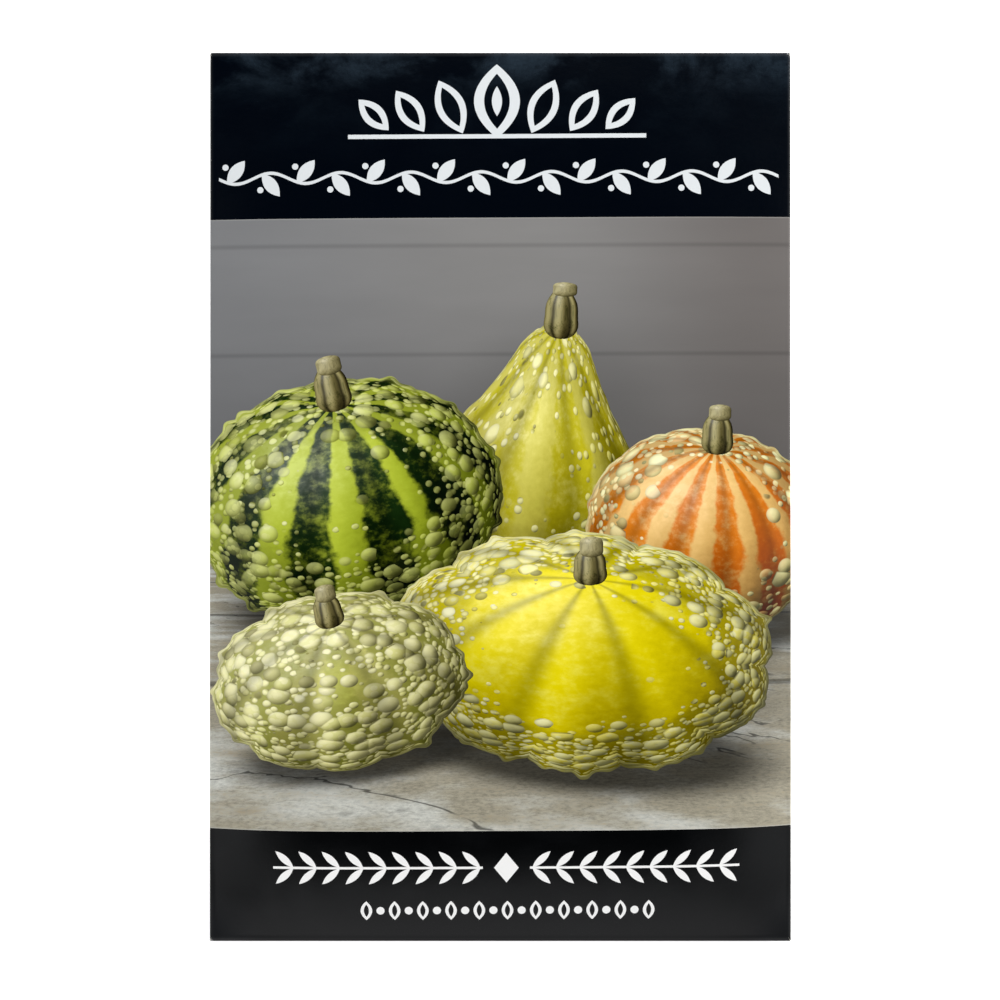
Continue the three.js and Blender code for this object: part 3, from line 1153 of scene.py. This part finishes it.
@dataclass(frozen=True)
class PrintedFront(Finish):
    """Coated paper with offset ink: a picture between two near-black bands, under a low gloss.

    Distances are in millimetres on the flat sheet, and lean is the slope of the print on it. wave is how
    broad the paper's unevenness is, which lets its gloss drift softly. Paper fibres are near 0.03 mm wide,
    too fine to show, so they are drawn as broad as fibre says. dust_gap is how far apart specks of dust are,
    smear how broad the smudgy patches of painted sheen in the bands are, and grain how fine their mottle is.
    """

    # Where each row of ornaments has its middle, across and up
    LARGE_ROW = (-0.2, 56.4)
    LONG_ROW = (0, 45.5)
    LAUREL_ROW = (0.57, -52.3)
    BEAD_ROW = (0.7, -58.6)
    # How far to both sides and below the middle the bottom corners with painted sheen are
    SHEEN_CORNER = (41.5, 63)

    name: str = "printed_front"
    lean: float = 0.0052
    picture_top: float = 39.7
    picture_bottom: float = -47.06
    hairline: float = 0.13
    wave: float = 22.222
    fibre: float = 0.625
    dust_gap: float = 11.765
    smear: float = 11.111
    grain: float = 0.5

    def look(self, tree: bpy.types.NodeTree) -> dict[str, Value]:
        """Draws the print and the sheen of its coating.

        Args:
            tree: the material's node tree.

        Returns:
            A socket or a constant for each input of the shader that it sets.
        """
        sheet = add_node(tree, "ShaderNodeUVMap", {"uv_map": SHEET_MAP})
        formula = Formula(
            tree, sheet=sheet, tilt=self.lean, high=self.picture_top, low=self.picture_bottom,
            hair=self.hairline, waves=1 / self.wave, fibres=1 / self.fibre, specks=1 / self.dust_gap,
            smears=1 / self.smear, grains=1 / self.grain, rub_out=self.SHEEN_CORNER[0],
            rub_down=self.SHEEN_CORNER[1],
        )
        formula.let(
            across="x_of(sheet)",
            up="y_of(sheet)",
            x="across + tilt * up",
            y="up - tilt * across",
            broad="noise(sheet, waves, 4, 0.55, 0.6)",
            fibre="noise(sheet, fibres, 3, 0.6)",
        )
        formula.names["picture"] = StillLife(tree, formula.names["x"], formula.names["y"]).draw()
        self._draw_bands(tree, formula)
        formula.let(
            printed="mix(above(y, low) * below(y, high), band, picture)",
            foot_line="above(y, low) * below(y, low + hair) * 0.45",
            head_line="above(y, high - hair) * below(y, high) * 0.25",
            outlined="mix(foot_line + head_line, printed, 'c9c9c2')",
            dust="ramp(0.016, 0.01, cells(sheet, specks, 1)) * 0.7",
        )
        return {
            "Base Color": formula("mix(dust, outlined, 'd8d8d2')"),
            "Roughness": formula("0.19 + 0.08 * (broad - 0.5) + 0.04 * (fibre - 0.5)"),
            "IOR": 1.5,
            "Normal": formula("bump(0.16, 0.0004, broad * 0.5 + fibre * 0.12)"),
        }

    def _draw_bands(self, tree: bpy.types.NodeTree, formula: Formula) -> None:
        """Draws both dark bands, the painted sheen on them, and their rows of ornaments.

        Args:
            tree: the material's node tree.
            formula: the print's own formulas, which gain one named band.
        """
        def row(right: float, high: float) -> Ornaments:
            """Starts a row of ornaments about its own middle."""
            return Ornaments(tree, formula("x - right", right=right), formula("y - high", high=high))

        formula.names.update(
            large=row(*self.LARGE_ROW).seed_row(),
            long=row(*self.LONG_ROW).vine_row(),
            laurel=row(*self.LAUREL_ROW).laurel_row(),
            beads=row(*self.BEAD_ROW).bead_row(),
        )
        formula.let(
            smear="noise(point(x, y * 1.4, 0), smears, 6, 0.62, 0.3)",
            mottle="noise(point(x, y, 0), grains, 4, 0.75)",
            patchy="ramp(0.42, 0.68, smear) * (0.2 + 1.6 * mottle)",
            # Painted sheen: a bluish haze painted in smudgy patches near the upper band's top edge, fading
            # lower down, as though the coating mirrored light there
            haze="patchy * (0.72 * ramp(57, 62.5, y) * ramp(69, 64, y) + 0.12 * ramp(46, 60, y))",
            lower="below(y, 0)",
            # Painted sheen: the lower band's black is painted lighter towards its bottom edge
            bottom_black="mix(ramp(-56, -62, y), '020304', '101011')",
            black="mix(lower, mix(haze, '00040c', '26323d'), bottom_black)",
            # Painted sheen: lighter grey painted at the bottom corners, with smudgy patches of it over the
            # lower band
            corner="sqrt((abs(x) - rub_out) ** 2 + (y + rub_down) ** 2)",
            rubbed="0.8 * ramp(8.5, 2, corner) + 0.12 * patchy * lower",
            ink="max(max(large, long), max(laurel, beads))",
            band="mix(ink, mix(rubbed, black, '1d1e20'), mix(lower, 'e3e8eb', 'fbfbfa'))",
        )


@dataclass(frozen=True)
class PrintedBack(Finish):
    """Coated paper with a plain light print: a thin frame, a sprig and ruled lines to write on.

    Distances are in millimetres on the flat sheet, and centre is where the back panel's middle is on it.
    Its fibres are drawn as broad as the front's, and tint is how broad its faint shifts of colour are.
    """

    name: str = "printed_back"
    centre: float = 84.0
    half_width: float = 37.0
    half_height: float = 44.0
    rule_pitch: float = 6.0
    rule_half: float = 30.0
    rules_top: float = 24.0
    rules_bottom: float = -38.0
    sprig_up: float = 32.5
    fibre: float = 0.625
    tint: float = 20.0

    def look(self, tree: bpy.types.NodeTree) -> dict[str, Value]:
        """Draws the back's print and the sheen of its coating.

        Args:
            tree: the material's node tree.

        Returns:
            A socket or a constant for each input of the shader that it sets.
        """
        sheet = add_node(tree, "ShaderNodeUVMap", {"uv_map": SHEET_MAP})
        formula = Formula(
            tree, sheet=sheet, centre=self.centre, wide=self.half_width, tall=self.half_height,
            pitch=self.rule_pitch, rule_half=self.rule_half, rules_top=self.rules_top,
            rules_bottom=self.rules_bottom, sprig_up=self.sprig_up, fibres=1 / self.fibre,
            tints=1 / self.tint,
        )
        formula.let(
            x="centre - x_of(sheet)",
            y="y_of(sheet)",
            fibre="noise(sheet, fibres, 4, 0.62)",
            broad="noise(sheet, tints, 3, 0.5)",
            frame="ramp(0.3, 0.22, abs(min(wide - abs(x), tall - abs(y))))",
            rule="ramp(0.16, 0.1, abs(fract(y / pitch) - 0.5) * pitch) * below(abs(x), rule_half)"
                 " * below(y, rules_top) * above(y, rules_bottom)",
            rise="y - sprig_up",
        )
        sprig = Ornaments(tree, formula.names["x"], formula.names["rise"])
        formula.names.update(
            leaf=sprig.leaf("m - 3.4", "y", length=6.8, width=3.0, turn=-52),
            bud=sprig.leaf("x", "y - 2.7", length=8.8, width=3.4, turn=0, stroke=0.5),
        )
        formula.let(
            ruled="mix(rule, mix(broad, 'e6e3d6', 'efece1'), 'a8aaa6')",
            printed="mix(max(max(leaf, bud), frame), ruled, '26332a')",
        )
        return {
            "Base Color": formula.names["printed"],
            "Roughness": formula("0.36 + 0.12 * (broad - 0.5)"),
            "IOR": 1.5,
            "Normal": formula("bump(0.15, 0.0003, fibre)"),
        }


@dataclass(frozen=True)
class BarePaper(Finish):
    """The uncoated inner side and the cut edges: soft white fibres without any gloss.

    fibre is in millimetres, and drawn broader than the real 0.03 mm so that it shows.
    """

    name: str = "bare_paper"
    fibre: float = 0.4545

    def look(self, tree: bpy.types.NodeTree) -> dict[str, Value]:
        """Gives a matt white with a fibre grain.

        Args:
            tree: the material's node tree.

        Returns:
            A socket or a constant for each input of the shader that it sets.
        """
        sheet = add_node(tree, "ShaderNodeUVMap", {"uv_map": SHEET_MAP})
        formula = Formula(tree, sheet=sheet, fibres=1 / self.fibre)
        formula.let(fibre="noise(sheet, fibres, 5, 0.7, 1.2)")
        return {
            "Base Color": formula("mix(fibre, 'dedbd0', 'f1efe8')"),
            "Roughness": formula("0.85 + 0.1 * (fibre - 0.5)"),
            "Normal": formula("bump(0.3, 0.0002, fibre)"),
        }


@dataclass(frozen=True)
class DriedGlue(Finish):
    """A thin line of dried glue: yellowish and low in gloss, with small bubbles.

    The breadth of its clouds and the distance between its bubbles are in millimetres.
    """

    name: str = "dried_glue"
    cloud: float = 3.125
    bubble_gap: float = 1.1111

    def look(self, tree: bpy.types.NodeTree) -> dict[str, Value]:
        """Gives a cloudy film with pits.

        Args:
            tree: the material's node tree.

        Returns:
            A socket or a constant for each input of the shader that it sets.
        """
        spot = add_node(tree, "ShaderNodeTexCoord", output="Object")
        clouds, bubbles = 1 / (self.cloud * MM), 1 / (self.bubble_gap * MM)
        formula = Formula(tree, spot=spot, clouds=clouds, bubbles=bubbles)
        formula.let(
            cloud="noise(spot, clouds, 4, 0.6)",
            bubble="ramp(0.2, 0.1, cells(spot, bubbles, 1))",
        )
        return {
            "Base Color": formula("mix(cloud, 'd9cfae', 'eee8d4')"),
            "Roughness": formula("0.32 + 0.2 * (cloud - 0.5)"),
            "IOR": 1.47,
            "Normal": formula("bump(0.4, 0.0001, cloud - bubble)"),
        }


@dataclass(frozen=True)
class SeedHull(Finish):
    """The dry hull of a squash seed: cream and slightly silky, with a tan groove inside a paler margin.

    The breadth of its fibres and of its clouds of colour is in millimetres. The fibres are drawn coarser
    than the real ones, which are too fine to show.
    """

    name: str = "seed_hull"
    fibre: float = 1.1111
    cloud: float = 6.25

    def look(self, tree: bpy.types.NodeTree) -> dict[str, Value]:
        """Colours the face, the groove and the margin by how far out they are.

        Args:
            tree: the material's node tree.

        Returns:
            A socket or a constant for each input of the shader that it sets.
        """
        seed = add_node(tree, "ShaderNodeUVMap", {"uv_map": SEED_MAP})
        spot = add_node(tree, "ShaderNodeTexCoord", output="Object")
        fibres, clouds = 1 / (self.fibre * MM), 1 / (self.cloud * MM)
        formula = Formula(tree, seed=seed, spot=spot, fibres=fibres, clouds=clouds)
        formula.let(
            out="x_of(seed)",
            fibre="noise(spot, fibres, 4, 0.65)",
            cloud="noise(spot, clouds, 3, 0.5)",
            margin="ramp(0.58, 0.8, out + 0.06 * (cloud - 0.5))",
            groove="ramp(0.16, 0, abs(out - 0.56)) * 0.45",
            hull="mix(margin, mix(cloud, 'dccfa8', 'ece2c4'), 'f0e8d0')",
        )
        return {
            "Base Color": formula("mix(groove, hull, 'b39f6d')"),
            "Roughness": formula("0.48 + 0.2 * margin + 0.1 * (fibre - 0.5)"),
            "Sheen Weight": 0.15,
            "Normal": formula("bump(0.35, 0.0001, fibre)"),
        }


@dataclass(frozen=True)
class StudioTable(Finish):
    """The white light table that the packet lies on, matt and softly lit. It isn't part of the packet.

    glow is the strength of its own light, and cloud how broad its faint shifts of tone are, in millimetres.
    """

    name: str = "studio_table"
    glow: float = 0.7
    cloud: float = 166.667

    def look(self, tree: bpy.types.NodeTree) -> dict[str, Value]:
        """Gives a matt white that varies very slightly.

        Args:
            tree: the material's node tree.

        Returns:
            A socket or a constant for each input of the shader that it sets.
        """
        spot = add_node(tree, "ShaderNodeTexCoord", output="Object")
        formula = Formula(tree, spot=spot, clouds=1 / (self.cloud * MM))
        formula.let(cloud="noise(spot, clouds, 3)")
        return {
            "Base Color": formula("mix(cloud, 'f7f7f6', 'fafafa')"),
            "Roughness": formula("0.8 + 0.1 * cloud"),
            "Emission Color": srgb("ffffff"),
            "Emission Strength": self.glow,
        }


@dataclass(frozen=True)
class SeedForm:
    """One flat squash seed: round at one end, with a tip at the other and a raised margin.

    Sizes are in millimetres. tip is how much it narrows from tip_from to its point, and face is how low its
    faces lie inside the margin, all as shares of its half size. A height is zero to zero_digits decimals.
    """

    length: float = 12
    width: float = 7.2
    thickness: float = 2
    tip: float = 0.42
    tip_from: float = -0.2
    face: float = 0.8
    margin_inner: float = 0.5
    margin_outer: float = 0.86
    rings: int = 40
    spokes: int = 56
    zero_digits: int = 9

    def mesh(self, name: str) -> bpy.types.Mesh:
        """Makes the closed mesh of one seed round its own middle, tip towards +x.

        Args:
            name: the mesh's name.

        Returns:
            The mesh, with a map that says how far out each place is.
        """
        turns = np.arange(1, self.rings) / self.rings * np.pi
        out = np.sin(turns)
        side = np.sign(np.cos(turns).round(self.zero_digits))
        face = self.face + (1 - self.face) * smooth(self.margin_inner, self.margin_outer, out)
        fall = np.clip((out - self.margin_outer) / (1 - self.margin_outer), 0, 1)
        height = side * face * np.sqrt(1 - fall * fall) * self.thickness / 2
        around = np.arange(self.spokes) / self.spokes * 2 * np.pi
        along = out[:, None] * np.cos(around)
        narrowed = 1 - self.tip * smooth(self.tip_from, 1, along)
        places = np.stack([
            along * self.length / 2,
            out[:, None] * np.sin(around) * narrowed * self.width / 2,
            np.broadcast_to(height[:, None], along.shape),
        ], -1).reshape(-1, 3)
        pole = self.face * self.thickness / 2
        places = np.concatenate([places, [[0, 0, pole], [0, 0, -pole]]]) * MM
        ring_starts = np.arange(self.rings - 2)[:, None] * self.spokes
        spoke, after = np.arange(self.spokes), (np.arange(self.spokes) + 1) % self.spokes
        quads = np.stack([ring_starts + spoke, ring_starts + self.spokes + spoke,
                          ring_starts + self.spokes + after, ring_starts + after], -1).reshape(-1, 4)
        last = (self.rings - 2) * self.spokes
        top, bottom = len(places) - 2, len(places) - 1
        caps = [(top, int(a), int(b)) for a, b in zip(spoke, after)]
        caps += [(bottom, int(last + b), int(last + a)) for a, b in zip(spoke, after)]
        mesh = bpy.data.meshes.new(name)
        mesh.from_pydata(places.tolist(), [], quads.tolist() + caps)
        mesh.polygons.foreach_set("use_smooth", np.ones(len(mesh.polygons), bool))
        outs = np.concatenate([np.repeat(out, self.spokes), [0, 0]])
        sides = np.concatenate([np.repeat(side, self.spokes), [1, -1]])
        numbers = np.array([loop.vertex_index for loop in mesh.loops])
        layer = mesh.uv_layers.new(name=SEED_MAP)
        layer.uv.foreach_set("vector", np.stack([outs, sides], 1)[numbers].astype(np.float32).ravel())
        return mesh


@dataclass(frozen=True)
class GlueFilms:
    """The films of glue under the seam and the flaps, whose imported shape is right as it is."""

    finish: DriedGlue

    def dress(self, nodes: dict[str, bpy.types.Object]) -> list[bpy.types.Object]:
        """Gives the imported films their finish.

        Args:
            nodes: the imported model's nodes by name.

        Returns:
            The films.
        """
        films = [node for name, node in nodes.items() if name.endswith("_glue")]
        glue = self.finish.make()
        for film in films:
            film.data.materials.clear()
            film.data.materials.append(glue)
        return films


@dataclass(frozen=True)
class SquashSeeds:
    """The loose seeds inside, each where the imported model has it."""

    # Corners of a packed seed that agree to this many decimals of a metre are one
    SAME_DIGITS = 7

    form: SeedForm
    finish: SeedHull

    def dress(self, nodes: dict[str, bpy.types.Object]) -> list[bpy.types.Object]:
        """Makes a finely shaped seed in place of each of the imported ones.

        Args:
            nodes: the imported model's nodes by name.

        Returns:
            The new pieces.
        """
        hull = self.finish.make()
        pieces = []
        for name in sorted(node for node in nodes if node.startswith("seed_")):
            mesh = self.form.mesh(name.replace("seed", "squash_seed"))
            mesh.transform(self._resting_place(nodes[name]))
            mesh.materials.append(hull)
            piece = bpy.data.objects.new(mesh.name, mesh)
            bpy.context.scene.collection.objects.link(piece)
            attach(piece, BODY)
            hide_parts(name)
            pieces.append(piece)
        return pieces

    @staticmethod
    def _resting_place(node: bpy.types.Object) -> Matrix:
        """Finds where a packed seed lies and which way its tip points.

        Args:
            node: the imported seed.

        Returns:
            The move from a seed round its own middle to that place.
        """
        points = np.array([vertex.co[:] for vertex in node.data.vertices])
        points = np.unique(points.round(SquashSeeds.SAME_DIGITS), axis=0)
        centre = points.mean(0)
        _, _, axes = np.linalg.svd(points - centre)
        along, up = axes[0], axes[2]
        local = (points - centre) @ axes.T
        tip_half = np.abs(local[local[:, 0] > 0, 1]).max()
        round_half = np.abs(local[local[:, 0] < 0, 1]).max()
        if tip_half > round_half:
            along = -along
        if up[2] < 0:
            up = -up
        turn = np.stack([along, np.cross(up, along), up], 1)
        move = Matrix.Identity(4)
        for row in range(3):
            for column in range(3):
                move[row][column] = turn[row, column]
            move[row][3] = centre[row]
        return move


@dataclass(frozen=True)
class Lamp:
    """One soft light that faces the packet.

    bearing is measured in degrees from the right-hand side, anticlockwise, and elevation up from the table.
    Sizes are in metres, and the power in watts.
    """

    name: str
    bearing: float
    elevation: float
    width: float
    height: float
    power: float
    colour: str
    distance: float = 1.0

    def build(self) -> None:
        """Hangs the light."""
        light = bpy.data.lights.new(self.name, "AREA")
        light.shape = "RECTANGLE"
        light.size = self.width
        light.size_y = self.height
        light.energy = self.power
        light.color = srgb(self.colour)[:3]
        round_turn, up_turn = math.radians(self.bearing), math.radians(self.elevation)
        toward = Vector((
            math.cos(up_turn) * math.cos(round_turn),
            math.cos(up_turn) * math.sin(round_turn),
            math.sin(up_turn),
        ))
        holder = bpy.data.objects.new(self.name, light)
        holder.location = toward * self.distance
        holder.rotation_euler = (-toward).to_track_quat("-Z", "Y").to_euler()
        bpy.context.scene.collection.objects.link(holder)


@dataclass(frozen=True)
class Studio:
    """A pale table, soft lights low at both sides, and a room that is dark straight above.

    The dark ceiling keeps the black bands black, because that is what they mirror towards the camera.
    Lengths are in metres. The glow changes between each from and to, which are heights on the room's
    dome: 0 at the horizon and 1 straight above.
    """

    table_half: float = 2.5
    table_drop: float = 0.00005
    wall_glow: float = 0.4
    ceiling_from: float = 0.95
    ceiling_to: float = 0.75
    horizon_glow: float = 0.6
    horizon_from: float = 0.16
    horizon_to: float = 0.0
    air: str = "fcfdff"
    lamps: tuple[Lamp, ...] = (
        Lamp(
            "upper_right_light", bearing=45, elevation=25, width=0.55, height=0.4, power=14,
            colour="fffefc",
        ),
        Lamp(
            "lower_left_light", bearing=228, elevation=13, width=0.7, height=0.3, power=8.5,
            colour="ffffff",
        ),
    )

    def build(self) -> None:
        """Makes the table, the room's glow and the lights."""
        self._table()
        self._room()
        for lamp in self.lamps:
            lamp.build()

    def _table(self) -> None:
        """Makes the table top under the packet."""
        half, low = self.table_half, -self.table_drop
        mesh = bpy.data.meshes.new("studio_table")
        corners = [(-half, -half, low), (half, -half, low), (half, half, low), (-half, half, low)]
        mesh.from_pydata(corners, [], [(0, 1, 2, 3)])
        mesh.materials.append(StudioTable().make())
        table = bpy.data.objects.new("studio_table", mesh)
        bpy.context.scene.collection.objects.link(table)

    def _room(self) -> None:
        """Lights the room from a pale horizon up to a dark ceiling."""
        world = bpy.data.worlds.new("studio_room")
        world.use_nodes = True
        tree = world.node_tree
        tree.nodes.clear()
        direction = add_node(tree, "ShaderNodeTexCoord", output="Generated")
        height = add_node(tree, "ShaderNodeSeparateXYZ", inputs={0: direction}, output="Z")
        glow = Formula(tree, z=height, wall=self.wall_glow, horizon=self.horizon_glow)(
            "wall * ramp(dark, bright, z) + horizon * ramp(start, end, z)",
            dark=self.ceiling_from, bright=self.ceiling_to, start=self.horizon_from, end=self.horizon_to,
        )
        inputs = {"Color": srgb(self.air), "Strength": glow}
        room = add_node(tree, "ShaderNodeBackground", inputs=inputs)
        add_node(tree, "ShaderNodeOutputWorld", inputs={"Surface": room}, output=None)
        bpy.context.scene.world = world


@dataclass(frozen=True)
class Viewpoint:
    """The camera, straight above the packet with the top of the print up.

    Distances are in metres, the lens in millimetres, and nearest is the closest thing that it shows.
    """

    height: float = 0.2664
    below_middle: float = 0.0005
    left_of_middle: float = 0.00006
    lens: float = 66.67
    nearest: float = 0.01

    def build(self) -> None:
        """Makes the camera and looks through it."""
        lens = bpy.data.cameras.new("photo_camera")
        lens.lens = self.lens
        lens.clip_start = self.nearest
        camera = bpy.data.objects.new("photo_camera", lens)
        camera.location = (-self.left_of_middle, -self.below_middle, self.height)
        bpy.context.scene.collection.objects.link(camera)
        bpy.context.scene.camera = camera


def main() -> None:
    """Builds the packet, then the studio and the camera, and reports each piece."""
    logging.basicConfig(level=logging.INFO, format="%(name)s: %(message)s")
    # The plain view keeps the print's colours as they are given
    bpy.context.scene.view_settings.view_transform = "Standard"
    nodes = frame["nodes"]
    sheet = FoldedSheet(PacketForm.from_frame(), Cockle()).dress()
    LOG.info("%s: %d faces", sheet.name, len(sheet.data.polygons))
    for piece in SquashSeeds(SeedForm(), SeedHull()).dress(nodes):
        LOG.info("%s: %d faces", piece.name, len(piece.data.polygons))
    for film in GlueFilms(DriedGlue()).dress(nodes):
        LOG.info("%s: new finish", film.name)
    studio = Studio()
    studio.build()
    LOG.info("studio: table, room and %d lights", len(studio.lamps))
    Viewpoint().build()
    LOG.info("camera: straight above")


if __name__ == "__main__":
    main()
